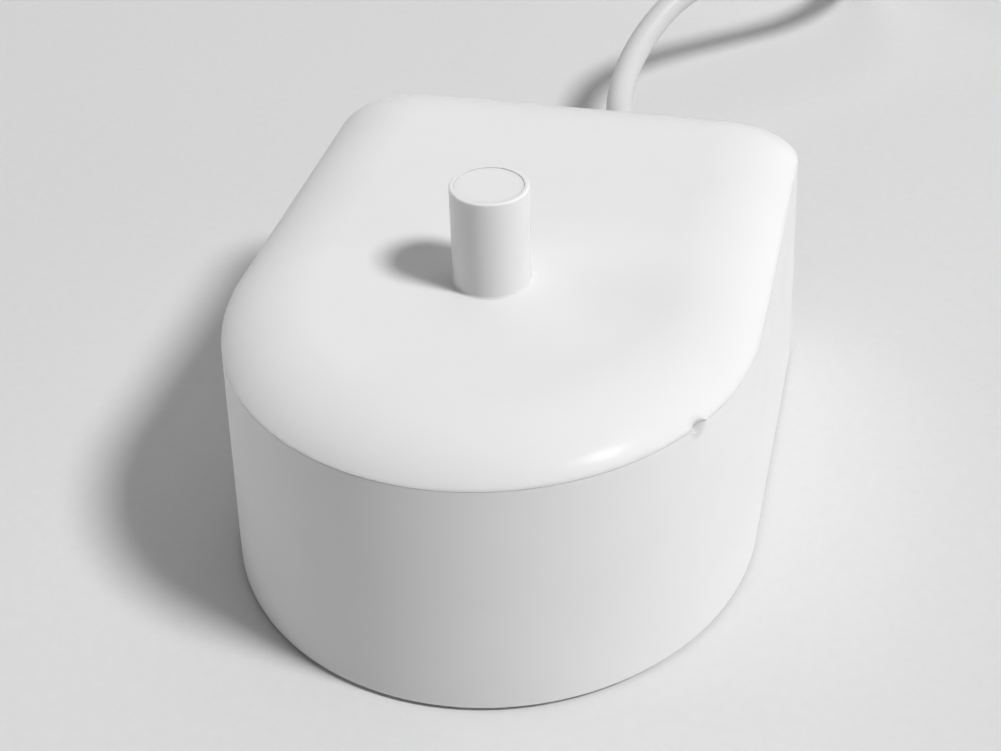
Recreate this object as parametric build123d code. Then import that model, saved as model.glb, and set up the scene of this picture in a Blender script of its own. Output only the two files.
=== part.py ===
"""Inductive charging stand for an electric toothbrush, with its mains cord and plug.

Millimetres, +Z up. The origin is the middle of the stand's footprint, on the surface it stands on.
The round front faces -Y, and the cord leaves the flat back towards +Y.
"""
from build123d import *
from math import ceil, cos, pi, radians, sin, tan
import os

# Housing, outside
seam_width = 55.0  # across the straight sides, at the parting line
front_reach = 29.6  # from the post's axis to the round front, at the parting line
back_reach = 43.6  # from the post's axis to the flat back, at the parting line
corner_radius = 7.7  # back corners, at the parting line
wall_flare = 1.0  # how much further out each wall stands at its foot
seam_height = 27.0  # parting line above the surface
roll_width = 9.5  # rolled edge of the lid, seen from above
roll_rise = 3.6  # level part of the lid above the parting line
roll_sweep = 66.0  # angle of the ellipse that the rolled edge follows, tightest at the wall
roll_steps = 4  # sections through the rolled edge
top_corner = 2.5  # back corners of the level part of the lid
seam_groove_depth = 0.12
seam_groove_height = 0.08

# Housing, walls and fits
wall = 2.0
fit_gap = 0.1  # between parts that are pushed together
tongue_depth = 2.5  # lid's rim inside the wall
tongue_thickness = 1.0
plate_thickness = 2.0
plate_lip = 1.0  # wall left outside the base plate
notch_diameter = 4.0  # ball that shapes the shallow dimple at the parting line
notch_depth = 0.46
notch_lift = 0.56  # middle of the ball above the parting line
notch_angle = -31.5  # place on the round front, from +X

# Charging post
post_diameter = 8.0
post_height = 10.8  # above the lid
post_edge = 0.18  # round of the post's rim
post_foot = 0.3  # hollow round at the post's foot
cap_diameter = 6.9
cap_thickness = 1.2
cap_gap = 0.03  # all round the cap
cap_sink = 0.08  # cap's top below the post's rim
core_diameter = 5.2
core_gap = 0.15

# Feet
foot_diameter = 8.0
foot_stand = 0.5  # how far the wall stands off the surface
foot_seat = 0.8  # depth of the foot's seat in the base plate
front_foot = (16.0, -23.0)
back_foot = (19.0, 28.0)

# Bare panel sunk in the underside
panel_size = (26.0, 15.0)
panel_depth = 0.3
panel_radius = 2.0

# Circuit board and its posts
board_size = (44.0, 42.0)
board_middle = 3.0  # the board's middle along Y
board_thickness = 1.6
board_corner = 1.5
board_post_height = 3.0
board_post_diameter = 5.0
board_peg_diameter = 2.0
board_peg_stand = 0.5  # peg above the board
board_peg_inset = 3.5  # from the board's edges
lead_diameter = 0.7
lead_gap = 0.15
lead_tail = 1.2  # lead below the board

# Spool, winding and its terminal pins
spool_wall = 1.0
spool_headroom = 1.4  # between the spool and the lid
lower_flange_diameter = 20.0
lower_flange_thickness = 1.5
upper_flange_diameter = 18.0
upper_flange_thickness = 1.2
winding_room = 0.35  # between the winding and the terminal pins
core_above_post_bore = 0.6  # room over the rod, under the cap
terminal_diameter = 0.8
terminal_inset = 1.2  # from the lower flange's edge
terminal_stand = 2.0  # pin above the lower flange

# Parts on the circuit board, placed by X and by their distance from its back edge
capacitor_edge = 0.5  # round of a capacitor's top edge
bulk_capacitor_size = (10.0, 16.0)  # diameter and height
bulk_capacitor_place = (-14.5, 8.5)
bulk_capacitor_pitch = 5.0
mains_capacitor_size = (13.0, 6.0, 12.0)
mains_capacitor_place = (0.5, 13.5)
mains_capacitor_pitch = 10.0
resonance_capacitor_size = (10.0, 5.0, 11.0)
resonance_capacitor_place = (16.0, 17.0)
resonance_capacitor_pitch = 7.5
choke_diameter = 9.0
choke_neck_diameter = 7.6
choke_height = 10.0
choke_flange = 1.5
choke_place = (15.0, 8.0)
choke_pitch = 5.0
transistor_size = (8.0, 3.0, 11.0)
transistor_place = (-15.5, 19.0)
transistor_pitch = 2.3
transistor_stand = 3.0  # case above the board
diode_size = (2.7, 5.2)  # diameter and length
diode_span = 9.0
diode_place = (16.5, 21.9)  # the one nearest the back
diode_step = 4.2
diode_count = 4
resistor_size = (3.5, 9.0)  # diameter and length
resistor_span = 12.5
resistor_place = (-17.0, 28.8)

# Cord, its strain relief and the saddle inside the wall
cord_diameter = 3.8
cord_height = 8.0  # cord's axis where it leaves the wall
bend_share = 0.45  # part of the shorter run that each bend of the cord takes up
relief_flange_diameter = 9.5
relief_flange_thickness = 1.8
relief_neck_diameter = 6.6
relief_collar_diameter = 7.8
relief_collar_length = 3.0
relief_tip_diameter = 5.2
relief_length = 22.0  # outside the wall
relief_groove_count = 5
relief_groove_width = 1.1
relief_groove_depth = 0.45
relief_gap = 0.2  # to the sloping wall
clamp_size = (10.0, 2.6)
clamp_stand = 3.0  # saddle above the cord's axis
clamp_setback = 0.5  # from the strain relief's flange
jacket_end = 3.0  # jacket inside the saddle
conductor_diameter = 1.3
conductor_pitch = 1.7
conductor_place = (5.0, 3.5)  # where the leads meet the board, as for its parts
conductor_rise = 3.0  # top of the leads above the cord's axis
conductor_bend = 1.6

# Put-away coil, its tie and the plug
coil_start = (27.0, 168.5)
coil_turn_gap = 0.45
coil_layer_gap = 0.65
coil_inner_radius = 15.2
coil_half_turns_in = 6
coil_half_turns_out = 7
coil_exit_turn = 20.0  # how far the cord goes on round the coil before it leaves for the plug
coil_exit_run = 6.0  # straight end of the cord, before the plug
tie_width = 4.0
tie_thickness = 0.6
tie_gap = 0.15
tie_ease = 0.5  # room in the plane of the coil
tie_corner = 1.5
plug_width = 25.0
plug_thickness = 14.2
plug_length = 26.0
plug_nose = 12.0  # length that narrows towards the cord
plug_nose_size = (11.0, 9.5)
plug_round = 3.0
plug_edge = 1.2  # round of the plug's flat face
plug_shoulder = 2.0  # round where the plug starts to narrow
grip_grooves = 4  # on each narrow side of the plug
grip_pitch = 2.4
grip_width = 1.0
grip_depth = 0.5
plug_relief_length = 14.0
plug_relief_diameters = (5.2, 8.4)
blade_width = 6.35
blade_thickness = 1.5
blade_length = 16.0
blade_root = 4.0  # blade inside the plug
blade_pitch = 12.7
blade_tip = 0.5  # bevel round the blade's tip
blade_hole_diameter = 3.0
blade_hole_place = 11.9  # from the plug's face

# Worked-out levels and places
post_y = (front_reach - back_reach) / 2
roll_reach = roll_width / sin(radians(roll_sweep))
roll_depth = roll_rise / (1 - cos(radians(roll_sweep)))
lid_top = seam_height + roll_rise
roll_centre = lid_top - roll_depth
post_top = lid_top + post_height
plate_top = foot_stand + plate_thickness
board_bottom = plate_top + board_post_height
board_top = board_bottom + board_thickness
board_back = board_middle + board_size[1] / 2
spool_height = lid_top - wall - spool_headroom - board_top
core_bore = core_diameter / 2 + core_gap
terminal_radius = lower_flange_diameter / 2 - terminal_inset
winding_radius = terminal_radius - terminal_diameter / 2 - winding_room
cord_radius = cord_diameter / 2
back_wall = post_y + back_reach + wall_flare * (seam_height - cord_height) / (seam_height - foot_stand)
relief_end = back_wall + relief_length
saddle_back = back_wall - wall - relief_gap - relief_flange_thickness - clamp_setback
saddle_front = saddle_back - clamp_size[1]
jacket_tip = saddle_front - jacket_end
lower_layer = tie_thickness + tie_gap + cord_radius
upper_layer = max(lower_layer + cord_diameter + coil_layer_gap, plug_thickness / 2)

# Route of the free cord, from the strain relief to the coil
cord_route = [
    (0.0, relief_end, cord_height),
    (0.0, 67.5, cord_height),
    (-2.2, 77.0, 9.5),
    (-0.8, 87.3, 13.2),
    (3.5, 97.0, 16.8),
    (11.3, 106.2, 17.6),
    (19.3, 116.0, 15.6),
    (24.6, 127.0, 11.0),
    (25.8, 137.3, 5.2),
    (26.4, 147.5, lower_layer),
    (coil_start[0], 158.0, lower_layer),
    (coil_start[0], coil_start[1], lower_layer),
]


STANDING = (Align.CENTER, Align.CENTER, Align.MIN)


def outline(offset, corner, z):
    """Plan of the stand at height z, moved out from the parting line's plan by offset."""
    half = seam_width / 2 + offset
    back = post_y + back_reach + offset
    front = EllipticalCenterArc((0, post_y), half, front_reach + offset, 180, arc_size=180)
    right = Line((half, post_y), (half, back - corner))
    right_corner = CenterArc((half - corner, back - corner), corner, 0, 90)
    rear = Line((half - corner, back), (corner - half, back))
    left_corner = CenterArc((corner - half, back - corner), corner, 90, 90)
    left = Line((-half, back - corner), (-half, post_y))
    return Pos(0, 0, z) * make_face([front, right, right_corner, rear, left_corner, left])


def prism(offset, z, height):
    """Upright block with the stand's plan."""
    return extrude(outline(offset, corner_radius + offset, z), height)


def flared(skin):
    """Inside of the wall at a depth of skin, or its outside where skin is 0."""
    foot = outline(wall_flare - skin, corner_radius + wall_flare - skin, foot_stand)
    rim = outline(-skin, corner_radius - skin, seam_height)
    return loft([foot, rim], ruled=True)


def crown(skin):
    """Inside of the lid at a depth of skin, or its outside where skin is 0."""
    sections = []
    for step in range(roll_steps, -1, -1):
        turn = radians(roll_sweep * step / roll_steps)
        inset = roll_width - (roll_reach - skin) * sin(turn)
        corner = corner_radius + (top_corner - corner_radius) * inset / roll_width
        sections.append(outline(-inset, corner, roll_centre + (roll_depth - skin) * cos(turn)))
    return loft(sections)


def rod(diameter, bottom, top, x=0.0, y=0.0):
    """Upright round bar."""
    return Pos(x, y, bottom) * Cylinder(diameter / 2, top - bottom, align=STANDING)


def block(size, bottom, x, y):
    """Upright box standing at a place."""
    return Pos(x, y, bottom) * Box(*size, align=STANDING)


def along_y(diameter, start, end, x=0.0, z=0.0):
    """Round bar along Y."""
    return Pos(x, start, z) * Rot(-90, 0, 0) * Cylinder(diameter / 2, end - start, align=STANDING)


def turned_along_y(profile):
    """Solid turned about the Y axis, from (distance from the axis, Y) points."""
    return revolve(make_face(Polyline(profile, close=True)), Axis.Y)


def front_point(angle):
    """Point and outward direction on the round front, at the parting line."""
    a = seam_width / 2
    place = Vector(a * cos(radians(angle)), post_y + front_reach * sin(radians(angle)), seam_height)
    outward = Vector(cos(radians(angle)) / a, sin(radians(angle)) / front_reach, 0).normalized()
    return place, outward


def seam_notch():
    """Cutter for the shallow dimple at the parting line."""
    place, outward = front_point(notch_angle)
    middle = place + outward * (notch_diameter / 2 - notch_depth)
    return Pos(*middle) * Pos(0, 0, notch_lift) * Sphere(notch_diameter / 2)


def make_post():
    """Outside of the charging post, with its rounded rim and hollow foot."""
    radius = post_diameter / 2
    base = lid_top - wall / 2
    outer = radius + post_foot
    sides = [
        Line((0, base), (outer, base)),
        Line((outer, base), (outer, lid_top)),
        RadiusArc((outer, lid_top), (radius, lid_top + post_foot), post_foot),
        Line((radius, lid_top + post_foot), (radius, post_top - post_edge)),
        RadiusArc((radius, post_top - post_edge), (radius - post_edge, post_top), -post_edge),
        Line((radius - post_edge, post_top), (0, post_top)),
        Line((0, post_top), (0, base)),
    ]
    return Pos(0, post_y, 0) * revolve(Plane.XZ * make_face(sides), Axis.Z)


def make_top_cover():
    """Crowned lid with its hollow post and the rim that drops inside the wall."""
    inner = wall + fit_gap
    tongue = prism(-inner, seam_height - tongue_depth, tongue_depth)
    tongue -= prism(-inner - tongue_thickness, seam_height - tongue_depth, tongue_depth)
    cover = crown(0.0) - crown(wall)
    cover += tongue
    cover += make_post()
    cover -= rod(2 * core_bore, lid_top - 2 * wall, post_top - cap_thickness, 0, post_y)
    cover -= rod(cap_diameter + 2 * cap_gap, post_top - cap_thickness, post_top, 0, post_y)
    return cover - seam_notch()


def make_post_cap():
    """Disc that closes the post, a little below its rim."""
    return rod(cap_diameter, post_top - cap_thickness, post_top - cap_sink, 0, post_y)


def make_body_shell():
    """D-shaped wall, open below for the base plate, with the cord's hole at the back."""
    shell = flared(0.0) - flared(wall)
    shell -= prism(wall_flare - plate_lip, foot_stand, plate_thickness)
    groove = prism(wall_flare, seam_height - seam_groove_height, seam_groove_height)
    groove -= prism(-seam_groove_depth, seam_height - seam_groove_height, seam_groove_height)
    shell -= groove
    hole = relief_neck_diameter + 2 * fit_gap
    shell -= along_y(hole, back_wall - 2 * wall, back_wall + 2 * wall, 0, cord_height)
    return shell - seam_notch()


def foot_places():
    return [(side * x, y) for x, y in (front_foot, back_foot) for side in (-1, 1)]


def peg_places():
    x = board_size[0] / 2 - board_peg_inset
    y = board_size[1] / 2 - board_peg_inset
    return [(sx * x, board_middle + sy * y) for sx in (-1, 1) for sy in (-1, 1)]


def make_base_plate():
    """Base plate with the board's posts on it and the feet's seats under it."""
    plate = prism(wall_flare - plate_lip - fit_gap, foot_stand, plate_thickness)
    for x, y in peg_places():
        plate += rod(board_post_diameter, plate_top, board_bottom, x, y)
        plate += rod(board_peg_diameter, board_bottom, board_top + board_peg_stand, x, y)
    for x, y in foot_places():
        plate -= rod(foot_diameter + 2 * fit_gap, foot_stand, foot_stand + foot_seat, x, y)
    panel = Pos(0, 0, foot_stand) * RectangleRounded(*panel_size, panel_radius)
    return plate - extrude(panel, panel_depth)


def make_feet():
    return [rod(foot_diameter, 0, foot_stand + foot_seat, x, y) for x, y in foot_places()]


def make_core():
    return rod(core_diameter, board_top, post_top - cap_thickness - core_above_post_bore, 0, post_y)


def terminal_places():
    turns = [radians(angle) for angle in (45, 135, 225, 315)]
    return [(terminal_radius * cos(a), post_y + terminal_radius * sin(a)) for a in turns]


def make_bobbin():
    """Flanged spool standing on the board."""
    top = board_top + spool_height
    spool = rod(2 * (core_bore + spool_wall), board_top, top, 0, post_y)
    spool += rod(lower_flange_diameter, board_top, board_top + lower_flange_thickness, 0, post_y)
    spool += rod(upper_flange_diameter, top - upper_flange_thickness, top, 0, post_y)
    spool -= rod(2 * core_bore, board_top, top, 0, post_y)
    for x, y in terminal_places():
        spool -= rod(terminal_diameter + 2 * fit_gap, board_top, board_top + lower_flange_thickness, x, y)
    return spool


def make_winding():
    """Winding between the spool's flanges."""
    inner = core_bore + spool_wall + fit_gap
    bottom = board_top + lower_flange_thickness + fit_gap
    top = board_top + spool_height - upper_flange_thickness - fit_gap
    winding = rod(2 * winding_radius, bottom, top, 0, post_y)
    return winding - rod(2 * inner, bottom, top, 0, post_y)


def make_terminals():
    top = board_top + lower_flange_thickness + terminal_stand
    return [rod(terminal_diameter, board_bottom - lead_tail, top, x, y) for x, y in terminal_places()]


def on_board(place):
    """Place in the stand's own axes of a part on the board."""
    return place[0], board_back - place[1]


def row(place, pitch, count=2):
    """Places of a part's leads, side by side along X."""
    x, y = on_board(place)
    first = x - pitch * (count - 1) / 2
    return [(first + pitch * i, y) for i in range(count)]


def with_leads(body, places, top):
    """Adds upright leads that pass through the board."""
    for x, y in places:
        body += rod(lead_diameter, board_bottom - lead_tail, top, x, y)
    return body


def axial_part(size, span, place, turn):
    """Part that lies on the board, with a lead bent down at each end."""
    axis = board_top + size[0] / 2
    body = Cylinder(size[0] / 2, size[1], rotation=(0, 90, 0))
    body += Cylinder(lead_diameter / 2, span, rotation=(0, 90, 0))
    drop = axis - board_bottom + lead_tail
    for side in (-1, 1):
        body += Pos(side * span / 2, 0, 0) * Sphere(lead_diameter / 2)
        body += Pos(side * span / 2, 0, -drop / 2) * Cylinder(lead_diameter / 2, drop)
    return Pos(*on_board(place), axis) * Rot(0, 0, turn) * body


def diode_places():
    return [(diode_place[0], diode_place[1] + diode_step * i) for i in range(diode_count)]


bulk_leads = row(bulk_capacitor_place, bulk_capacitor_pitch)
mains_leads = row(mains_capacitor_place, mains_capacitor_pitch)
resonance_leads = row(resonance_capacitor_place, resonance_capacitor_pitch)
choke_leads = row(choke_place, choke_pitch)
transistor_leads = row(transistor_place, transistor_pitch, 3)
diode_leads = [hole for place in diode_places() for hole in row(place, diode_span)]
resistor_ends = [resistor_place[1] + side * resistor_span / 2 for side in (-1, 1)]
resistor_leads = [on_board((resistor_place[0], end)) for end in resistor_ends]
conductor_leads = [on_board((side * conductor_place[0], conductor_place[1])) for side in (-1, 1)]


def make_board():
    """Circuit board, drilled for its pegs and for every lead that passes through it."""
    board = extrude(
        Pos(0, board_middle, board_bottom) * RectangleRounded(*board_size, board_corner), board_thickness
    )
    fine = bulk_leads + mains_leads + resonance_leads + choke_leads + transistor_leads
    drilled = [(place, lead_diameter) for place in fine + diode_leads + resistor_leads]
    drilled += [(place, terminal_diameter) for place in terminal_places()]
    drilled += [(place, conductor_diameter) for place in conductor_leads]
    drilled += [(place, board_peg_diameter) for place in peg_places()]
    for (x, y), diameter in drilled:
        board -= rod(diameter + 2 * lead_gap, board_bottom, board_top, x, y)
    return board


def make_bulk_capacitor():
    diameter, height = bulk_capacitor_size
    can = rod(diameter, board_top, board_top + height, *on_board(bulk_capacitor_place))
    can = fillet(can.edges().group_by(Axis.Z)[-1], capacitor_edge)
    return with_leads(can, bulk_leads, board_top + height / 2)


def make_boxed_capacitor(size, place, places):
    case = block(size, board_top, *on_board(place))
    case = fillet(case.edges().group_by(Axis.Z)[-1], capacitor_edge)
    return with_leads(case, places, board_top + size[2] / 2)


def make_choke():
    """Drum-shaped choke."""
    top = board_top + choke_height
    place = on_board(choke_place)
    drum = rod(choke_neck_diameter, board_top, top, *place)
    drum += rod(choke_diameter, board_top, board_top + choke_flange, *place)
    drum += rod(choke_diameter, top - choke_flange, top, *place)
    return with_leads(drum, choke_leads, board_top + choke_height / 2)


def make_transistor():
    bottom = board_top + transistor_stand
    case = block(transistor_size, bottom, *on_board(transistor_place))
    return with_leads(case, transistor_leads, bottom + transistor_size[2] / 2)


def make_diodes():
    return [axial_part(diode_size, diode_span, place, 0) for place in diode_places()]


def tube(diameter, path):
    """Round tube swept along a path, whose volume is compared with section times length."""
    section = Plane(origin=path @ 0, z_dir=path % 0) * Circle(diameter / 2)
    swept = sweep(section, path)
    expected = pi * diameter**2 / 4 * path.length
    print(f"tube of {path.length:.1f} mm, volume {swept.volume / expected:.4f} of section times length")
    return swept


def make_conductor(side):
    """Insulated lead from the end of the jacket up and over to its hole in the board."""
    x = side * conductor_pitch / 2
    top = cord_height + conductor_rise
    hole_x, hole_y = on_board((side * conductor_place[0], conductor_place[1]))
    halfway = (jacket_tip + hole_y) / 2
    points = [
        (x, jacket_tip, cord_height),
        (x, jacket_tip - 2 * conductor_bend, cord_height),
        (hole_x, halfway, top),
        (hole_x, hole_y, top),
        (hole_x, hole_y, board_bottom),
    ]
    return tube(conductor_diameter, FilletPolyline(points, radius=conductor_bend).wire())


def relief_radius(y):
    """Radius of the strain relief's tapered part."""
    start = back_wall + relief_collar_length
    share = (y - start) / (relief_end - start)
    return (relief_collar_diameter + (relief_tip_diameter - relief_collar_diameter) * share) / 2


def make_strain_relief():
    """Sleeve with a flange inside the wall, a neck through it and a grooved taper outside."""
    bore = cord_radius + fit_gap
    flange_back = back_wall - wall - relief_gap
    collar = back_wall + relief_gap
    taper = back_wall + relief_collar_length
    profile = [
        (bore, flange_back - relief_flange_thickness),
        (relief_flange_diameter / 2, flange_back - relief_flange_thickness),
        (relief_flange_diameter / 2, flange_back),
        (relief_neck_diameter / 2, flange_back),
        (relief_neck_diameter / 2, collar),
        (relief_collar_diameter / 2, collar),
        (relief_collar_diameter / 2, taper),
        (relief_tip_diameter / 2, relief_end),
        (bore, relief_end),
    ]
    relief = Pos(0, 0, cord_height) * turned_along_y(profile)
    step = (relief_end - taper) / (relief_groove_count + 1)
    for i in range(relief_groove_count):
        start = taper + step * (i + 1) - relief_groove_width / 2
        end = start + relief_groove_width
        floor = 2 * (relief_radius(start) - relief_groove_depth)
        ring = along_y(2 * relief_collar_diameter, start, end, 0, cord_height)
        relief -= ring - along_y(floor, start, end, 0, cord_height)
    return relief


def make_cord_clamp():
    """Saddle on the base plate, open above, that grips the jacket."""
    height = cord_height + clamp_stand - plate_top
    saddle = block((clamp_size[0], clamp_size[1], height), plate_top, 0, (saddle_front + saddle_back) / 2)
    slot = cord_diameter + fit_gap
    saddle -= along_y(slot, saddle_front, saddle_back, 0, cord_height)
    return saddle - block((slot, clamp_size[1], height), cord_height, 0, (saddle_front + saddle_back) / 2)


def make_free_cord():
    """Free stretch of the cord: straight runs joined by the largest arcs that they leave room for."""
    points = [Vector(*point) for point in cord_route]
    radii = []
    for before, point, after in zip(points, points[1:], points[2:]):
        arriving = point - before
        leaving = after - point
        half_turn = radians(arriving.get_angle(leaving)) / 2
        radii.append(bend_share * min(arriving.length, leaving.length) / tan(half_turn))
    print("cord radii", [round(radius, 1) for radius in radii])
    return tube(cord_diameter, FilletPolyline(points, radius=radii).wire())


def coil_half_turns():
    """Radius and rise of each half turn: in along the floor, up a layer, and out again above."""
    step = (cord_diameter + coil_turn_gap) / 2
    inward = [coil_inner_radius + step * i for i in range(coil_half_turns_in, 0, -1)]
    outward = [coil_inner_radius + step * i for i in range(1, coil_half_turns_out + 1)]
    climb = upper_layer - lower_layer
    return [(r, 0.0) for r in inward] + [(coil_inner_radius, climb)] + [(r, 0.0) for r in outward]


def coil_path():
    """Half circles end to end, then a straight end that leaves the coil at a slant."""
    place = Vector(coil_start[0], coil_start[1], lower_layer)
    side = -1
    edges = []
    for radius, rise in coil_half_turns():
        across = Vector(2 * side * radius, 0, rise)
        middle = place + across / 2 + Vector(0, -side * across.length / 2, 0)
        edges.append(ThreePointArc(place, middle, place + across))
        place = place + across
        side = -side
    radius = coil_inner_radius + (cord_diameter + coil_turn_gap) / 2 * (coil_half_turns_out + 1)
    leaving = CenterArc(place - Vector(radius, 0, 0), radius, 0, coil_exit_turn)
    edges.append(leaving)
    edges.append(Line(leaving @ 1, (leaving @ 1) + (leaving % 1) * coil_exit_run))
    return Wire(edges), edges[-1] @ 1


def least_gap(path, step=1.0):
    """Least gap between turns, on points along the coil."""
    count = ceil(path.length / step)
    points = [path @ (i / count) for i in range(count + 1)]
    apart = ceil(2 * coil_inner_radius / step)
    nearest = min((points[i] - q).length for i in range(len(points)) for q in points[i + apart :])
    return nearest - cord_diameter


def make_tie():
    """Strap round the turns on the far side of the coil."""
    outer_radius = max(radius for radius, _ in coil_half_turns()[0::2])
    inner = coil_inner_radius - cord_radius - tie_ease
    outer = outer_radius + cord_radius + tie_ease
    bottom = lower_layer - cord_radius - tie_gap
    height = upper_layer + cord_radius + tie_gap - bottom
    depth = outer - inner
    middle = (coil_start[0] - outer_radius, coil_start[1] + (inner + outer) / 2, bottom + height / 2)
    across = Plane(origin=middle, x_dir=(0, 1, 0), z_dir=(1, 0, 0))
    inside = RectangleRounded(depth, height, tie_corner)
    both_sides = 2 * tie_thickness
    outside = RectangleRounded(depth + both_sides, height + both_sides, tie_corner + tie_thickness)
    return extrude(across * (outside - inside), tie_width / 2, both=True)


def plug_section(width, thickness, y):
    """Cross-section of the plug at a distance from the end of its cord."""
    plane = Plane(origin=(0, y, 0), x_dir=(1, 0, 0), z_dir=(0, 1, 0))
    return plane * RectangleRounded(width, thickness, plug_round)


def make_grip(middle):
    """Cutter for the grip grooves in the plug's two narrow sides."""
    grooves = []
    for side in (-1, 1):
        for step in range(grip_grooves):
            y = middle + (step - (grip_grooves - 1) / 2) * grip_pitch
            groove = Box(2 * grip_depth, grip_width, plug_thickness)
            grooves.append(Pos(side * plug_width / 2, y, 0) * groove)
    return grooves


def make_plug(end):
    """Plug at the coil's free end: its tapered sleeve, its body and its two blades."""
    thin, thick = plug_relief_diameters
    nose = plug_relief_length
    shoulder = nose + plug_nose
    face = nose + plug_length
    sleeve = turned_along_y([(0, 0), (thin / 2, 0), (thick / 2, nose), (0, nose)])
    large = plug_section(plug_width, plug_thickness, shoulder)
    body = loft([plug_section(*plug_nose_size, nose), large], ruled=True)
    body += extrude(large, face - shoulder, dir=(0, 1, 0))
    body = fillet(body.edges().group_by(Axis.Y)[2], plug_shoulder)
    body = fillet(body.edges().group_by(Axis.Y)[-1], plug_edge)
    body -= make_grip((shoulder + face) / 2)
    blades = []
    for side in (-1, 1):
        size = (blade_thickness, blade_length + blade_root, blade_width)
        blade = Box(*size, align=(Align.CENTER, Align.MIN, Align.CENTER))
        blade = chamfer(blade.edges().group_by(Axis.Y)[-1], blade_tip)
        hole = Rot(0, 90, 0) * Cylinder(blade_hole_diameter / 2, 2 * blade_thickness)
        blade -= Pos(0, blade_root + blade_hole_place, 0) * hole
        blades.append(Pos(side * blade_pitch / 2, face - blade_root, 0) * blade)
        body -= blades[-1]
    lie = Pos(*end) * Rot(0, 0, coil_exit_turn)
    return lie * sleeve, lie * body, [lie * blade for blade in blades]


def write(name, shape):
    """Writes one node: a solid, or a group of separate like solids."""
    solids = shape if isinstance(shape, list) else [shape]
    found = [solid for item in solids for solid in item.solids()]
    export_step(found[0] if len(found) == 1 else Compound(children=found), f"parts/{name}.step")


os.makedirs("parts", exist_ok=True)
coil_wire, coil_end = coil_path()
print(f"coil of {coil_wire.length:.0f} mm, least gap between its turns {least_gap(coil_wire):.2f} mm")
plug_sleeve, plug_case, plug_pins = make_plug(coil_end)

write("top_cover", make_top_cover())
write("post_cap", make_post_cap())
write("body_shell", make_body_shell())
write("base_plate", make_base_plate())
write("rubber_feet", make_feet())
write("ferrite_core", make_core())
write("coil_bobbin", make_bobbin())
write("primary_coil", make_winding())
write("bobbin_pins", make_terminals())
write("circuit_board", make_board())
write("bulk_capacitor", make_bulk_capacitor())
write("mains_capacitor", make_boxed_capacitor(mains_capacitor_size, mains_capacitor_place, mains_leads))
write(
    "resonance_capacitor",
    make_boxed_capacitor(resonance_capacitor_size, resonance_capacitor_place, resonance_leads),
)
write("rectifier_diodes", make_diodes())
write("fusible_resistor", axial_part(resistor_size, resistor_span, resistor_place, 90))
write("filter_choke", make_choke())
write("switching_transistor", make_transistor())
write("live_lead", make_conductor(1))
write("neutral_lead", make_conductor(-1))
write("strain_relief", make_strain_relief())
write("cord_clamp", make_cord_clamp())
write("cord_inner_end", along_y(cord_diameter, jacket_tip, relief_end, 0, cord_height))
write("mains_cord", make_free_cord())
write("cord_coil", tube(cord_diameter, coil_wire))
write("cord_tie", make_tie())
write("plug_relief", plug_sleeve)
write("plug_body", plug_case)
write("plug_blades", plug_pins)
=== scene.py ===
"""Toothbrush charging stand: finishes, mains cord, floor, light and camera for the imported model.

Metres, in the model's own frame: +Z up, round front towards -Y, cord towards +Y.
"""
from math import cos, pi, radians, sin

import bpy
from bpy.props import FloatProperty, FloatVectorProperty, IntProperty, PointerProperty
from bpy.types import Operator, Panel, PropertyGroup
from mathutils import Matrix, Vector


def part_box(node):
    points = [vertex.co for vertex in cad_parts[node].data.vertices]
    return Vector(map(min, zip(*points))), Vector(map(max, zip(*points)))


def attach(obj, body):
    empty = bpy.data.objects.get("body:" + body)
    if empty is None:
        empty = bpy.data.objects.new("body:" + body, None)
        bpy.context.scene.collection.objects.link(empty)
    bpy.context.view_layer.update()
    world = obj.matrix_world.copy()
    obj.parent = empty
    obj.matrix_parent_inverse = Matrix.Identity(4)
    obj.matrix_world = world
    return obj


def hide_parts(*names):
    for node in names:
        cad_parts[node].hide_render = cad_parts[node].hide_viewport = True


bl_info = {
    "name": "Toothbrush charging stand",
    "version": (1, 0, 0),
    "blender": (4, 5, 0),
    "location": "View3D > Sidebar > Charging stand",
    "description": "Finishes, mains cord and stage for an inductive toothbrush charging stand",
    "category": "Object",
}

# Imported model
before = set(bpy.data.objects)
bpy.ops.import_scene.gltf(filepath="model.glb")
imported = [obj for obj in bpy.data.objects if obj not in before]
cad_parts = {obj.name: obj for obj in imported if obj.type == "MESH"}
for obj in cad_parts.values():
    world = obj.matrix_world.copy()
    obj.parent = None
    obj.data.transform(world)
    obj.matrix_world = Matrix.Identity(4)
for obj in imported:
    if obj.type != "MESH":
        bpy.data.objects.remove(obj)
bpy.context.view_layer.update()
RELIEF_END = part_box("strain_relief")[1].y
CORD_HEIGHT = sum(corner.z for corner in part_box("cord_inner_end")) / 2

# Patterns of the finishes
NOISE_LOW = 0.3  # nearly all of a noise pattern lies between these two
NOISE_HIGH = 0.7
WAVE_RATE = 20.0  # radians of a wave pattern per unit of its scale
CLOUD_DARK = 0.985  # a clouded surface lies between these shares of its colour
CLOUD_LIGHT = 1.01

# Moulded plastic
PLASTIC_IOR = 1.49
PLASTIC_GLOSS = 0.35
PLASTIC_CLOUD = 0.012
PLASTIC_PATCH = 0.004  # patches of more and of less gloss
PLASTIC_SMOOTHER = 0.02
PLASTIC_ROUGHER = 0.03

# Plated metal
METAL_CLOUD = 0.004
METAL_DARK = 0.95
METAL_MARK = 0.0003  # width of a drawing mark
METAL_MARK_SCALE = (1.0, 0.1, 1.0)  # makes the marks ten times as long along Y
METAL_MARK_DEPTH = 0.0000001
METAL_SMOOTHER = 0.03
METAL_ROUGHER = 0.05

# Speckled pieces
SPECKLE_ROUGHNESS = 0.05  # how far their roughness varies, both ways

# Wound wire
WIRE_WANDER = 0.4
WIRE_METALLIC = 0.7
WIRE_ROUGHNESS = 0.35

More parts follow.
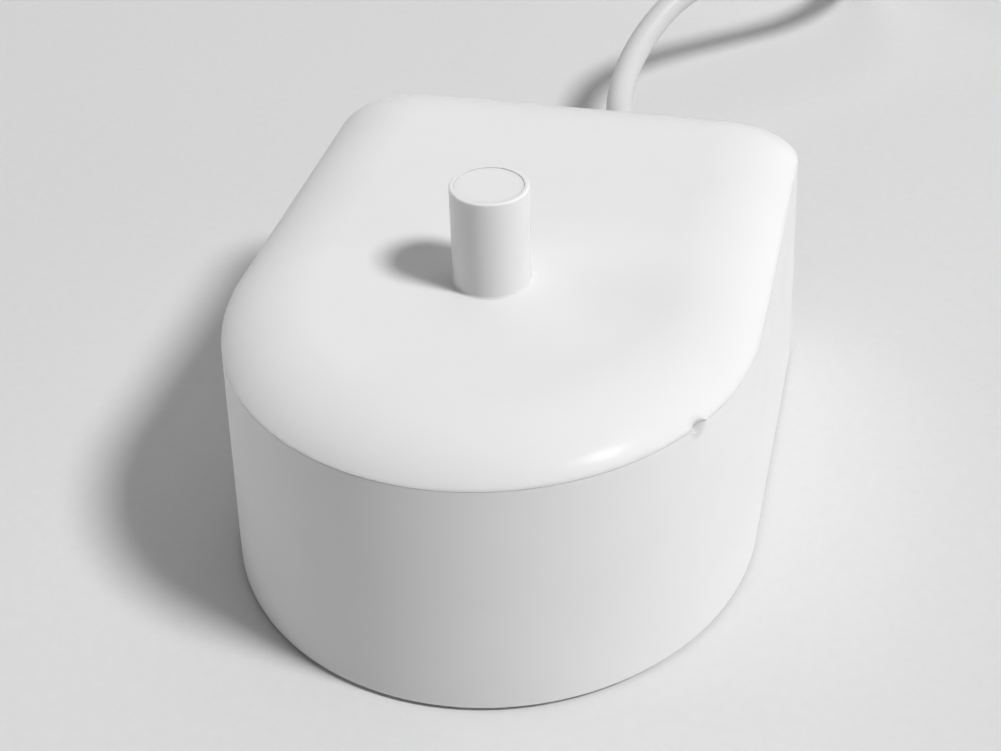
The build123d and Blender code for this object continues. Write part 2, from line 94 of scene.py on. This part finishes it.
# Floor and room
FLOOR_FLECK = 0.0012
FLOOR_PORE = 0.0006
FLOOR_PORE_DEPTH = 0.00001
FLOOR_ROUGHNESS = 0.9
FLOOR_GLOSS = 0.06
WHITE_LIGHT = (1.0, 1.0, 1.0, 1.0)

# Cord's line and section
HALF_TURN_POINTS = 8
LINE_STEPS = 8  # between two points of the line
SECTION_STEPS = 7  # in a quarter of the section

# Camera
SENSOR_WIDTH = 36.0  # millimetres
CLIP_START = 0.005


class HousingSettings(PropertyGroup):
    """Finish of the moulded housing."""

    white: FloatVectorProperty(
        name="White",
        description="Colour of the moulded lid, post and wall",
        subtype="COLOR",
        size=3,
        min=0.0,
        max=1.0,
        default=(0.80, 0.80, 0.80),
    )
    lid_roughness: FloatProperty(
        name="Lid roughness",
        description="Roughness of the lid and its post",
        subtype="FACTOR",
        min=0.0,
        max=1.0,
        default=0.23,
    )
    wall_roughness: FloatProperty(
        name="Wall roughness",
        description="Roughness of the wall",
        subtype="FACTOR",
        min=0.0,
        max=1.0,
        default=0.4,
    )
    gloss: FloatProperty(
        name="Gloss",
        description="Strength of the surface's reflections",
        subtype="FACTOR",
        min=0.0,
        max=1.0,
        default=0.06,
    )
    grain_size: FloatProperty(
        name="Grain size",
        description="Size of the fine moulded grain",
        unit="LENGTH",
        default=0.00025,
    )
    grain_depth: FloatProperty(
        name="Grain depth",
        description="Depth of the fine moulded grain",
        unit="LENGTH",
        default=0.00000015,
    )
    glow: FloatProperty(
        name="Glow",
        description="How far light spreads inside the white plastic",
        unit="LENGTH",
        default=0.0004,
    )
    # Painted shade: the grey darkening in the dimple at the parting line is shade painted into the white,
    # strongest at its middle.
    dimple_shade_place: FloatVectorProperty(
        name="Mark",
        description="Middle of the grey mark in the dimple at the parting line",
        subtype="TRANSLATION",
        size=3,
        default=(0.0234, -0.0225, 0.0268),
    )
    dimple_shade_radius: FloatProperty(
        name="Mark radius",
        description="Radius at which the grey mark has faded",
        unit="LENGTH",
        default=0.0015,
    )
    dimple_shade_share: FloatProperty(
        name="Mark shade",
        description="Share of the white left in the middle of the mark",
        subtype="FACTOR",
        min=0.0,
        max=1.0,
        default=0.7,
    )


class CordSettings(PropertyGroup):
    """Size and lie of the mains cord."""

    diameter: FloatProperty(
        name="Diameter",
        description="Diameter of the cord's jacket",
        unit="LENGTH",
        default=0.0038,
    )
    length: FloatProperty(
        name="Length",
        description="Length outside the strain reliefs",
        unit="LENGTH",
        default=1.13,
    )
    coil_inner_radius: FloatProperty(
        name="Coil inner radius",
        description="Radius of the innermost half turn, at the cord's axis",
        unit="LENGTH",
        default=0.0152,
    )
    coil_pitch: FloatProperty(
        name="Coil pitch",
        description="Distance between turns that lie side by side",
        unit="LENGTH",
        default=0.00425,
    )
    half_turns_in: IntProperty(
        name="Half turns in",
        description="Half turns on the surface, winding inwards",
        default=6,
    )
    half_turns_out: IntProperty(
        name="Half turns out",
        description="Half turns on top, winding outwards",
        default=7,
    )
    exit_turn: FloatProperty(
        name="Exit turn",
        description="How far the cord goes on round the coil before it leaves for the plug",
        unit="ROTATION",
        default=radians(20.0),
    )
    exit_run: FloatProperty(
        name="Exit run",
        description="Straight end of the cord, before the plug",
        unit="LENGTH",
        default=0.006,
    )
    lower_layer: FloatProperty(
        name="Lower layer",
        description="Height of the cord's axis in the lower layer",
        unit="LENGTH",
        default=0.00265,
    )
    upper_layer: FloatProperty(
        name="Upper layer",
        description="Height of the cord's axis in the upper layer",
        unit="LENGTH",
        default=0.0071,
    )
    white: FloatVectorProperty(
        name="White",
        description="Colour of the jacket",
        subtype="COLOR",
        size=3,
        min=0.0,
        max=1.0,
        default=(0.64, 0.64, 0.64),
    )


class StageSettings(PropertyGroup):
    """Floor, light and camera."""

    floor_colour: FloatVectorProperty(
        name="Floor",
        description="Colour of the floor",
        subtype="COLOR",
        size=3,
        min=0.0,
        max=1.0,
        default=(0.715, 0.715, 0.715),
    )
    floor_size: FloatProperty(
        name="Floor size",
        description="Side of the square floor",
        unit="LENGTH",
        default=6.0,
    )
    fade_start: FloatProperty(
        name="Fade start",
        description="Distance from the stand at which the floor starts to go over into the backdrop",
        unit="LENGTH",
        default=0.35,
    )
    fade_end: FloatProperty(
        name="Fade end",
        description="Distance from the stand at which the floor has the backdrop's tone",
        unit="LENGTH",
        default=0.9,
    )
    key_place: FloatVectorProperty(
        name="Key lamp",
        description="Middle of the round lamp that casts the shadow",
        subtype="TRANSLATION",
        size=3,
        default=(1.470, -0.377, 1.986),
    )
    key_diameter: FloatProperty(
        name="Key diameter",
        description="Diameter of the key lamp",
        unit="LENGTH",
        default=0.53,
    )
    key_power: FloatProperty(
        name="Key power",
        description="Power of the key lamp",
        unit="POWER",
        default=51.0,
    )
    overhead_place: FloatVectorProperty(
        name="Overhead panel",
        description="Middle of the large soft panel overhead",
        subtype="TRANSLATION",
        size=3,
        default=(0.1, 0.45, 1.5),
    )
    overhead_diameter: FloatProperty(
        name="Overhead diameter",
        description="Diameter of the overhead panel",
        unit="LENGTH",
        default=1.75,
    )
    overhead_power: FloatProperty(
        name="Overhead power",
        description="Power of the overhead panel",
        unit="POWER",
        default=6.6,
    )
    side_distance: FloatProperty(
        name="Side panels",
        description="Distance of the low panels at both sides",
        unit="LENGTH",
        default=1.45,
    )
    side_height: FloatProperty(
        name="Side height",
        description="Height of the low panels at both sides",
        unit="LENGTH",
        default=0.4,
    )
    side_diameter: FloatProperty(
        name="Side diameter",
        description="Diameter of the low panels at both sides",
        unit="LENGTH",
        default=0.8,
    )
    left_power: FloatProperty(
        name="Left power",
        description="Power of the low panel at the left",
        unit="POWER",
        default=4.2,
    )
    right_power: FloatProperty(
        name="Right power",
        description="Power of the low panel at the right",
        unit="POWER",
        default=2.3,
    )
    room_light: FloatProperty(
        name="Room light",
        description="Light from the room all round",
        min=0.0,
        default=0.048,
    )
    backdrop: FloatProperty(
        name="Backdrop",
        description="Brightness of the room where it is seen, and of the floor far from the stand",
        subtype="FACTOR",
        min=0.0,
        max=1.0,
        default=0.69,
    )
    camera_place: FloatVectorProperty(
        name="Camera",
        description="Place of the camera",
        subtype="TRANSLATION",
        size=3,
        default=(0.03752, -0.14828, 0.12465),
    )
    camera_turn: FloatVectorProperty(
        name="Camera turn",
        description="Rotation of the camera",
        subtype="EULER",
        size=3,
        default=(radians(53.946), radians(1.515), radians(13.571)),
    )
    camera_lens: FloatProperty(
        name="Lens",
        description="Focal length on a 36 mm wide sensor",
        unit="CAMERA",
        default=61.57,
    )


def cord_route(cord):
    """Given points of the cord, from the strain relief to its coil."""
    return [
        (0.0, RELIEF_END, CORD_HEIGHT),
        (0.0, 0.0675, CORD_HEIGHT),
        (-0.0022, 0.0770, 0.0095),
        (-0.0008, 0.0873, 0.0132),
        (0.0038, 0.0968, 0.0172),
        (0.0122, 0.1052, 0.0192),
        (0.0214, 0.1130, 0.0188),
        (0.0290, 0.1215, 0.0160),
        (0.0305, 0.1325, 0.0102),
        (0.0285, 0.1440, 0.0045),
        (0.0272, 0.1540, cord.lower_layer),
        (0.0270, 0.1685, cord.lower_layer),
    ]


def coil_points(cord, start):
    """Points of the put-away coil: in along the floor, up a layer, and out again on top."""
    step = pi / HALF_TURN_POINTS
    reach = 1.0 / cos(step / 2)
    half_pitch = cord.coil_pitch / 2
    inward = [cord.coil_inner_radius + half_pitch * i for i in range(cord.half_turns_in, 0, -1)]
    outward = [cord.coil_inner_radius + half_pitch * i for i in range(1, cord.half_turns_out + 1)]
    levels = [cord.lower_layer] * len(inward) + [None] + [cord.upper_layer] * len(outward)
    radii = inward + [cord.coil_inner_radius] + outward
    middle_level = (cord.lower_layer + cord.upper_layer) / 2
    half_climb = (cord.upper_layer - cord.lower_layer) / 2
    points = []
    x, y, _ = start
    side = 1
    for radius, level in zip(radii, levels):
        centre = x - side * radius
        for i in range(HALF_TURN_POINTS):
            angle = (i + 0.5) * step
            px = centre + side * radius * reach * cos(angle)
            py = y + side * radius * reach * sin(angle)
            pz = middle_level - half_climb * reach * cos(angle) if level is None else level
            points.append((px, py, pz))
        x = x - 2 * side * radius
        side = -side
    turn = cord.exit_turn
    radius = cord.coil_inner_radius + half_pitch * (cord.half_turns_out + 1)
    centre = Vector((x - radius, y, cord.upper_layer))
    away = Vector((cos(turn), sin(turn), 0.0))
    heading = Vector((-sin(turn), cos(turn), 0.0))
    corner = centre + Vector((cos(turn / 2), sin(turn / 2), 0.0)) * radius / cos(turn / 2)
    points.append((x, y, cord.upper_layer))
    points.append(tuple(corner))
    points.append(tuple(centre + away * radius))
    points.append(tuple(centre + away * radius + heading * cord.exit_run))
    return points


def new_finish(name):
    """Material with a shader that its finish is built on."""
    finish = bpy.data.materials.new(name)
    finish.use_nodes = True
    return finish, finish.node_tree, finish.node_tree.nodes["Principled BSDF"]


def mottle(tree, size, detail=2.0, stretch=(1.0, 1.0, 1.0)):
    """Noise with blotches of about one size, fixed to the piece."""
    place = tree.nodes.new("ShaderNodeTexCoord")
    scaling = tree.nodes.new("ShaderNodeMapping")
    scaling.inputs["Scale"].default_value = [share / size for share in stretch]
    noise = tree.nodes.new("ShaderNodeTexNoise")
    noise.inputs["Scale"].default_value = 1.0
    noise.inputs["Detail"].default_value = detail
    tree.links.new(place.outputs["Object"], scaling.inputs["Vector"])
    tree.links.new(scaling.outputs["Vector"], noise.inputs["Vector"])
    return noise.outputs["Fac"]


def colour_between(tree, shader, pattern, first, second):
    """Base colour that goes from one colour to another with a pattern."""
    ramp = tree.nodes.new("ShaderNodeValToRGB")
    ramp.color_ramp.elements[0].position = NOISE_LOW
    ramp.color_ramp.elements[1].position = NOISE_HIGH
    ramp.color_ramp.elements[0].color = (*first, 1.0)
    ramp.color_ramp.elements[1].color = (*second, 1.0)
    tree.links.new(pattern, ramp.inputs["Fac"])
    tree.links.new(ramp.outputs["Color"], shader.inputs["Base Color"])


def roughness_between(tree, shader, pattern, low, high):
    """Roughness that varies with a pattern."""
    spread = tree.nodes.new("ShaderNodeMapRange")
    spread.inputs["From Min"].default_value = NOISE_LOW
    spread.inputs["From Max"].default_value = NOISE_HIGH
    spread.inputs["To Min"].default_value = low
    spread.inputs["To Max"].default_value = high
    tree.links.new(pattern, spread.inputs["Value"])
    tree.links.new(spread.outputs["Result"], shader.inputs["Roughness"])


def relief(tree, shader, pattern, depth):
    """Fine relief in the surface."""
    bump = tree.nodes.new("ShaderNodeBump")
    bump.inputs["Distance"].default_value = depth
    tree.links.new(pattern, bump.inputs["Height"])
    tree.links.new(bump.outputs["Normal"], shader.inputs["Normal"])


def shaded(colour, share):
    """Colour a little darker or lighter."""
    return tuple(min(1.0, part * share) for part in colour)


def moulded_plastic(name, colour, roughness, grain_size, grain_depth, gloss=PLASTIC_GLOSS):
    """Satin moulded plastic: faint clouding, a fine grain and uneven gloss."""
    finish, tree, shader = new_finish(name)
    clouds = mottle(tree, PLASTIC_CLOUD, detail=3.0)
    colour_between(tree, shader, clouds, shaded(colour, CLOUD_DARK), shaded(colour, CLOUD_LIGHT))
    patches = mottle(tree, PLASTIC_PATCH, detail=3.0)
    roughness_between(tree, shader, patches, roughness - PLASTIC_SMOOTHER, roughness + PLASTIC_ROUGHER)
    grain = mottle(tree, grain_size)
    relief(tree, shader, grain, grain_depth)
    shader.inputs["IOR"].default_value = PLASTIC_IOR
    shader.inputs["Specular IOR Level"].default_value = gloss
    return finish


def housing_plastic(name, housing, roughness):
    """White plastic that lets light in a little, with painted shade darkening it in the dimple at the
    parting line.
    """
    grain = (housing.grain_size, housing.grain_depth)
    finish = moulded_plastic(name, tuple(housing.white), roughness, *grain, housing.gloss)
    tree = finish.node_tree
    shader = tree.nodes["Principled BSDF"]
    shader.inputs["Subsurface Weight"].default_value = 1.0
    shader.inputs["Subsurface Radius"].default_value = (1.0, 1.0, 1.0)
    shader.inputs["Subsurface Scale"].default_value = housing.glow
    # Painted shade: the white is darkened towards the middle of the dimple at the parting line.
    white = shader.inputs["Base Color"].links[0].from_socket
    place = tree.nodes.new("ShaderNodeTexCoord")
    distance = tree.nodes.new("ShaderNodeVectorMath")
    distance.operation = "DISTANCE"
    distance.inputs[1].default_value = housing.dimple_shade_place
    fade = tree.nodes.new("ShaderNodeMapRange")
    fade.interpolation_type = "SMOOTHSTEP"
    fade.inputs["From Max"].default_value = housing.dimple_shade_radius
    fade.inputs["To Min"].default_value = housing.dimple_shade_share
    fade.inputs["To Max"].default_value = 1.0
    painted_shade = tree.nodes.new("ShaderNodeVectorMath")
    painted_shade.operation = "SCALE"
    tree.links.new(place.outputs["Object"], distance.inputs[0])
    tree.links.new(distance.outputs["Value"], fade.inputs["Value"])
    tree.links.new(white, painted_shade.inputs[0])
    tree.links.new(fade.outputs["Result"], painted_shade.inputs["Scale"])
    tree.links.new(painted_shade.outputs["Vector"], shader.inputs["Base Color"])
    return finish


def plain_metal(name, colour, roughness):
    """Plated metal with fine drawing marks."""
    finish, tree, shader = new_finish(name)
    marks = mottle(tree, METAL_MARK, stretch=METAL_MARK_SCALE)
    clouds = mottle(tree, METAL_CLOUD)
    colour_between(tree, shader, clouds, shaded(colour, METAL_DARK), colour)
    roughness_between(tree, shader, marks, roughness - METAL_SMOOTHER, roughness + METAL_ROUGHER)
    relief(tree, shader, marks, METAL_MARK_DEPTH)
    shader.inputs["Metallic"].default_value = 1.0
    return finish


def speckled(name, colour, other, size, roughness, depth):
    """Matt piece with a speckle of a second colour."""
    finish, tree, shader = new_finish(name)
    specks = mottle(tree, size, detail=4.0)
    colour_between(tree, shader, specks, colour, other)
    patches = mottle(tree, size * 3)
    roughness_between(tree, shader, patches, roughness - SPECKLE_ROUGHNESS, roughness + SPECKLE_ROUGHNESS)
    pores = mottle(tree, size / 2, detail=3.0)
    relief(tree, shader, pores, depth)
    return finish


def wound_wire(name, colour, other, pitch):
    """Close turns of enamelled wire round an upright axis, with painted shade in the grooves between
    them.
    """
    finish, tree, shader = new_finish(name)
    place = tree.nodes.new("ShaderNodeTexCoord")
    turns = tree.nodes.new("ShaderNodeTexWave")
    turns.bands_direction = "Z"
    turns.inputs["Scale"].default_value = 2 * pi / (WAVE_RATE * pitch)
    turns.inputs["Distortion"].default_value = WIRE_WANDER
    tree.links.new(place.outputs["Object"], turns.inputs["Vector"])
    # Painted shade: the copper is darker in the grooves between the turns.
    colour_between(tree, shader, turns.outputs["Fac"], other, colour)
    relief(tree, shader, turns.outputs["Fac"], pitch / 4)
    shader.inputs["Metallic"].default_value = WIRE_METALLIC
    shader.inputs["Roughness"].default_value = WIRE_ROUGHNESS
    return finish


def seen_rays(tree):
    """1 for rays that show what they meet, straight, in gloss or through glass, and 0 for others."""
    path = tree.nodes.new("ShaderNodeLightPath")
    first = tree.nodes.new("ShaderNodeMath")
    first.operation = "MAXIMUM"
    second = tree.nodes.new("ShaderNodeMath")
    second.operation = "MAXIMUM"
    tree.links.new(path.outputs["Is Camera Ray"], first.inputs[0])
    tree.links.new(path.outputs["Is Glossy Ray"], first.inputs[1])
    tree.links.new(first.outputs[0], second.inputs[0])
    tree.links.new(path.outputs["Is Transmission Ray"], second.inputs[1])
    return second.outputs[0]


def dress(finish, *nodes):
    """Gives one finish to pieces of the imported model."""
    for name in nodes:
        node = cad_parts[name]
        for material_slot in node.material_slots:
            material_slot.material = finish


class CHARGINGSTAND_OT_stage(Operator):
    """Make the floor, the room, the lamps and the camera"""

    bl_idname = "charging_stand.stage"
    bl_label = "Stage"
    bl_options = {"REGISTER", "UNDO"}

    def execute(self, context):
        stage = context.scene.stand_stage
        context.scene.view_settings.view_transform = "Standard"
        self.add_floor(context, stage)
        self.add_room(context, stage)
        side = stage.side_distance
        left_place = (-side, 0.0, stage.side_height)
        right_place = (side, -side / 2, stage.side_height)
        lamps = (
            ("key_lamp", stage.key_place, stage.key_diameter, stage.key_power),
            ("overhead_panel", stage.overhead_place, stage.overhead_diameter, stage.overhead_power),
            ("left_panel", left_place, stage.side_diameter, stage.left_power),
            ("right_panel", right_place, stage.side_diameter, stage.right_power),
        )
        for name, place, diameter, power in lamps:
            self.add_lamp(context, name, place, diameter, power)
        self.add_camera(context, stage)
        return {"FINISHED"}

    def add_floor(self, context, stage):
        """Square of pale, faintly flecked floor under the stand."""
        half = stage.floor_size / 2
        mesh = bpy.data.meshes.new("floor")
        corners = [(-half, -half, 0.0), (half, -half, 0.0), (half, half, 0.0), (-half, half, 0.0)]
        mesh.from_pydata(corners, [], [(0, 1, 2, 3)])
        floor = bpy.data.objects.new("floor", mesh)
        context.scene.collection.objects.link(floor)
        finish, tree, shader = new_finish("pale_floor")
        colour = tuple(stage.floor_colour)
        flecks = mottle(tree, FLOOR_FLECK, detail=4.0)
        colour_between(tree, shader, flecks, shaded(colour, CLOUD_DARK), shaded(colour, CLOUD_LIGHT))
        pores = mottle(tree, FLOOR_PORE, detail=3.0)
        relief(tree, shader, pores, FLOOR_PORE_DEPTH)
        shader.inputs["Roughness"].default_value = FLOOR_ROUGHNESS
        shader.inputs["Specular IOR Level"].default_value = FLOOR_GLOSS
        self.fade_floor(tree, shader, stage)
        mesh.materials.append(finish)

    def fade_floor(self, tree, shader, stage):
        """Far from the stand the floor shows the backdrop's even tone."""
        place = tree.nodes.new("ShaderNodeTexCoord")
        distance = tree.nodes.new("ShaderNodeVectorMath")
        distance.operation = "LENGTH"
        fade = tree.nodes.new("ShaderNodeMapRange")
        fade.interpolation_type = "SMOOTHSTEP"
        fade.inputs["From Min"].default_value = stage.fade_start
        fade.inputs["From Max"].default_value = stage.fade_end
        share = tree.nodes.new("ShaderNodeMath")
        share.operation = "MULTIPLY"
        far = tree.nodes.new("ShaderNodeEmission")
        far.inputs["Color"].default_value = WHITE_LIGHT
        far.inputs["Strength"].default_value = stage.backdrop
        mix = tree.nodes.new("ShaderNodeMixShader")
        output = tree.nodes["Material Output"]
        tree.links.new(place.outputs["Object"], distance.inputs[0])
        tree.links.new(distance.outputs["Value"], fade.inputs["Value"])
        tree.links.new(fade.outputs["Result"], share.inputs[0])
        tree.links.new(seen_rays(tree), share.inputs[1])
        tree.links.new(share.outputs[0], mix.inputs["Fac"])
        tree.links.new(shader.outputs["BSDF"], mix.inputs[1])
        tree.links.new(far.outputs["Emission"], mix.inputs[2])
        tree.links.new(mix.outputs["Shader"], output.inputs["Surface"])

    def add_room(self, context, stage):
        """Faint light all round, and the pale tone that is seen behind the floor."""
        room = bpy.data.worlds.new("room")
        context.scene.world = room
        room.use_nodes = True
        tree = room.node_tree
        tree.nodes.clear()
        light = tree.nodes.new("ShaderNodeBackground")
        light.inputs["Color"].default_value = WHITE_LIGHT
        light.inputs["Strength"].default_value = stage.room_light
        seen = tree.nodes.new("ShaderNodeBackground")
        seen.inputs["Color"].default_value = WHITE_LIGHT
        seen.inputs["Strength"].default_value = stage.backdrop
        mix = tree.nodes.new("ShaderNodeMixShader")
        output = tree.nodes.new("ShaderNodeOutputWorld")
        tree.links.new(seen_rays(tree), mix.inputs["Fac"])
        tree.links.new(light.outputs[0], mix.inputs[1])
        tree.links.new(seen.outputs[0], mix.inputs[2])
        tree.links.new(mix.outputs[0], output.inputs["Surface"])

    def add_lamp(self, context, name, place, diameter, power):
        """Round panel that faces the stand and isn't seen itself."""
        light = bpy.data.lights.new(name, "AREA")
        light.shape = "DISK"
        light.size = diameter
        light.energy = power
        lamp = bpy.data.objects.new(name, light)
        lamp.location = place
        lamp.rotation_euler = Vector(place).to_track_quat("Z", "Y").to_euler()
        lamp.visible_camera = False
        context.scene.collection.objects.link(lamp)

    def add_camera(self, context, stage):
        """Camera at the photograph's viewing angle."""
        data = bpy.data.cameras.new("camera")
        data.sensor_fit = "HORIZONTAL"
        data.sensor_width = SENSOR_WIDTH
        data.lens = stage.camera_lens
        data.clip_start = CLIP_START
        camera = bpy.data.objects.new("camera", data)
        camera.location = stage.camera_place
        camera.rotation_euler = stage.camera_turn
        context.scene.collection.objects.link(camera)
        context.scene.camera = camera


class CHARGINGSTAND_OT_cord(Operator):
    """Lay the mains cord and wind its put-away coil"""

    bl_idname = "charging_stand.cord"
    bl_label = "Mains cord"
    bl_options = {"REGISTER", "UNDO"}

    def execute(self, context):
        cord = context.scene.stand_cord
        route = cord_route(cord)
        points = route + coil_points(cord, route[-1])
        curve = bpy.data.curves.new("mains_cord_line", "CURVE")
        curve.dimensions = "3D"
        curve.bevel_depth = cord.diameter / 2
        curve.bevel_resolution = SECTION_STEPS
        curve.resolution_u = LINE_STEPS
        curve.use_fill_caps = True
        spline = curve.splines.new("NURBS")
        spline.points.add(len(points) - 1)
        for knot, point in zip(spline.points, points):
            knot.co = (*point, 1.0)
        spline.order_u = 3
        spline.use_endpoint_u = True
        piece = bpy.data.objects.new("flex", curve)
        context.scene.collection.objects.link(piece)
        jacket = moulded_plastic(
            "cord_jacket",
            tuple(cord.white),
            roughness=0.38,
            grain_size=0.0004,
            grain_depth=0.000002,
        )
        curve.materials.append(jacket)
        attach(piece, "root")
        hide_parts("mains_cord", "cord_coil")
        return {"FINISHED"}


class CHARGINGSTAND_OT_housing(Operator):
    """Finish the lid, its post, the wall and the base plate"""

    bl_idname = "charging_stand.housing"
    bl_label = "Housing"
    bl_options = {"REGISTER", "UNDO"}

    def execute(self, context):
        housing = context.scene.stand_housing
        lid = housing_plastic("lid_white", housing, housing.lid_roughness)
        dress(lid, "top_cover", "post_cap")
        wall = housing_plastic("wall_white", housing, housing.wall_roughness)
        dress(wall, "body_shell")
        base = moulded_plastic(
            "base_white",
            shaded(tuple(housing.white), share=0.97),
            roughness=0.5,
            grain_size=housing.grain_size,
            grain_depth=housing.grain_depth,
        )
        dress(base, "base_plate", "cord_clamp")
        rubber = speckled(
            "foot_rubber",
            colour=(0.42, 0.42, 0.41),
            other=(0.38, 0.38, 0.37),
            size=0.0006,
            roughness=0.8,
            depth=0.00002,
        )
        dress(rubber, "rubber_feet")
        return {"FINISHED"}


class CHARGINGSTAND_OT_winding(Operator):
    """Finish the rod, spool, winding and terminal pins inside the post"""

    bl_idname = "charging_stand.winding"
    bl_label = "Charging coil"
    bl_options = {"REGISTER", "UNDO"}

    def execute(self, context):
        rod = speckled(
            "ferrite",
            colour=(0.05, 0.05, 0.055),
            other=(0.09, 0.09, 0.095),
            size=0.0003,
            roughness=0.6,
            depth=0.00001,
        )
        dress(rod, "ferrite_core")
        spool = moulded_plastic(
            "spool_black",
            colour=(0.03, 0.03, 0.03),
            roughness=0.45,
            grain_size=0.0003,
            grain_depth=0.000004,
        )
        dress(spool, "coil_bobbin")
        copper = wound_wire(
            "copper_winding",
            colour=(0.66, 0.29, 0.13),
            # Painted shade: this darker copper fills the grooves between the turns.
            other=(0.3, 0.1, 0.04),
            pitch=0.00025,
        )
        dress(copper, "primary_coil")
        tin = plain_metal("tinned_pin", colour=(0.68, 0.67, 0.64), roughness=0.35)
        dress(tin, "bobbin_pins")
        return {"FINISHED"}


class CHARGINGSTAND_OT_board(Operator):
    """Finish the circuit board and the parts on it"""

    bl_idname = "charging_stand.board"
    bl_label = "Circuit board"
    bl_options = {"REGISTER", "UNDO"}

    def execute(self, context):
        laminate = speckled(
            "board_laminate",
            colour=(0.33, 0.23, 0.1),
            other=(0.4, 0.29, 0.14),
            size=0.0008,
            roughness=0.55,
            depth=0.00001,
        )
        dress(laminate, "circuit_board")
        sleeve = moulded_plastic(
            "can_sleeve",
            colour=(0.04, 0.05, 0.09),
            roughness=0.3,
            grain_size=0.002,
            grain_depth=0.00001,
        )
        dress(sleeve, "bulk_capacitor")
        yellow_box = moulded_plastic(
            "film_yellow",
            colour=(0.62, 0.42, 0.05),
            roughness=0.35,
            grain_size=0.001,
            grain_depth=0.00001,
        )
        dress(yellow_box, "mains_capacitor")
        red_dip = moulded_plastic(
            "film_red",
            colour=(0.36, 0.07, 0.04),
            roughness=0.3,
            grain_size=0.001,
            grain_depth=0.00001,
        )
        dress(red_dip, "resonance_capacitor")
        moulding = moulded_plastic(
            "black_moulding",
            colour=(0.025, 0.025, 0.025),
            roughness=0.5,
            grain_size=0.0003,
            grain_depth=0.000006,
        )
        dress(moulding, "rectifier_diodes", "switching_transistor")
        coating = speckled(
            "coated_resistor",
            colour=(0.36, 0.42, 0.34),
            other=(0.3, 0.36, 0.29),
            size=0.0005,
            roughness=0.5,
            depth=0.00001,
        )
        dress(coating, "fusible_resistor")
        choke = speckled(
            "choke_ferrite",
            colour=(0.05, 0.05, 0.055),
            other=(0.1, 0.09, 0.09),
            size=0.0003,
            roughness=0.6,
            depth=0.00001,
        )
        dress(choke, "filter_choke")
        brown = moulded_plastic(
            "lead_brown",
            colour=(0.2, 0.08, 0.04),
            roughness=0.4,
            grain_size=0.0004,
            grain_depth=0.000003,
        )
        dress(brown, "live_lead")
        blue = moulded_plastic(
            "lead_blue",
            colour=(0.04, 0.12, 0.4),
            roughness=0.4,
            grain_size=0.0004,
            grain_depth=0.000003,
        )
        dress(blue, "neutral_lead")
        return {"FINISHED"}


class CHARGINGSTAND_OT_plug(Operator):
    """Finish the strain reliefs, the tie, the plug and its blades"""

    bl_idname = "charging_stand.plug"
    bl_label = "Reliefs and plug"
    bl_options = {"REGISTER", "UNDO"}

    def execute(self, context):
        white = tuple(context.scene.stand_cord.white)
        soft = moulded_plastic(
            "relief_white",
            shaded(white, share=0.98),
            roughness=0.45,
            grain_size=0.0004,
            grain_depth=0.000003,
        )
        dress(soft, "strain_relief", "cord_inner_end", "plug_relief", "plug_body")
        strap = moulded_plastic(
            "tie_white",
            shaded(white, share=0.95),
            roughness=0.5,
            grain_size=0.0003,
            grain_depth=0.000004,
        )
        dress(strap, "cord_tie")
        nickel = plain_metal("nickel_blade", colour=(0.72, 0.7, 0.66), roughness=0.25)
        dress(nickel, "plug_blades")
        return {"FINISHED"}


class CHARGINGSTAND_PT_panel(Panel):
    """Steps that dress the charging stand, in order"""

    bl_idname = "CHARGINGSTAND_PT_panel"
    bl_label = "Charging stand"
    bl_space_type = "VIEW_3D"
    bl_region_type = "UI"
    bl_category = "Charging stand"

    def draw(self, context):
        for step in STEPS:
            self.layout.operator(step.bl_idname)


SETTINGS = {
    "stand_housing": HousingSettings,
    "stand_cord": CordSettings,
    "stand_stage": StageSettings,
}
STEPS = (
    CHARGINGSTAND_OT_stage,
    CHARGINGSTAND_OT_cord,
    CHARGINGSTAND_OT_housing,
    CHARGINGSTAND_OT_winding,
    CHARGINGSTAND_OT_board,
    CHARGINGSTAND_OT_plug,
)


def register():
    for settings in SETTINGS.values():
        bpy.utils.register_class(settings)
    for name, settings in SETTINGS.items():
        setattr(bpy.types.Scene, name, PointerProperty(type=settings))
    for step in STEPS:
        bpy.utils.register_class(step)
    bpy.utils.register_class(CHARGINGSTAND_PT_panel)


def unregister():
    bpy.utils.unregister_class(CHARGINGSTAND_PT_panel)
    for step in reversed(STEPS):
        bpy.utils.unregister_class(step)
    for name, settings in SETTINGS.items():
        delattr(bpy.types.Scene, name)
        bpy.utils.unregister_class(settings)


def main():
    register()
    bpy.ops.charging_stand.stage()
    bpy.ops.charging_stand.cord()
    bpy.ops.charging_stand.housing()
    bpy.ops.charging_stand.winding()
    bpy.ops.charging_stand.board()
    bpy.ops.charging_stand.plug()


if __name__ == "__main__":
    main()
